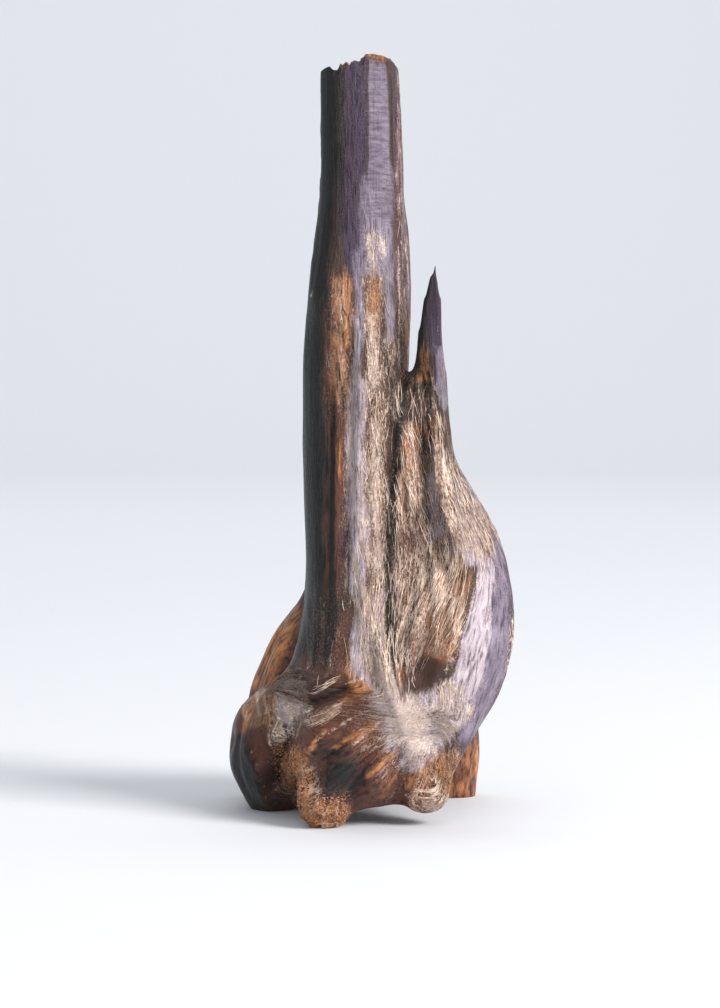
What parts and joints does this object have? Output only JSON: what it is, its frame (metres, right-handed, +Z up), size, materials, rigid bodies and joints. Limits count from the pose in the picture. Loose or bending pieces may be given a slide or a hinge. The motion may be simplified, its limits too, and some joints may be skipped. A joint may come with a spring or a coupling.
{
  "type": "agarwood piece",
  "caption": "Dark resinous root crown of agarwood standing on its own feet, with a tall snapped stem, a thin upright splinter and a rounded flank.",
  "frame": {"origin": "middle of the bounding box at the surface that the piece stands on", "axes": "+Z up along the stem, -Y the side seen in the picture, +X towards the splinter and the rounded flank"},
  "size_m": [0.0565, 0.0584, 0.15],
  "materials": {
    "resinous_wood": "dark resinous wood, waxy on the smooth faces and dry and fibrous where it is torn"
  },
  "bodies": {
    "root": {"agarwood": "resinous_wood"}
  },
  "joints": []
}
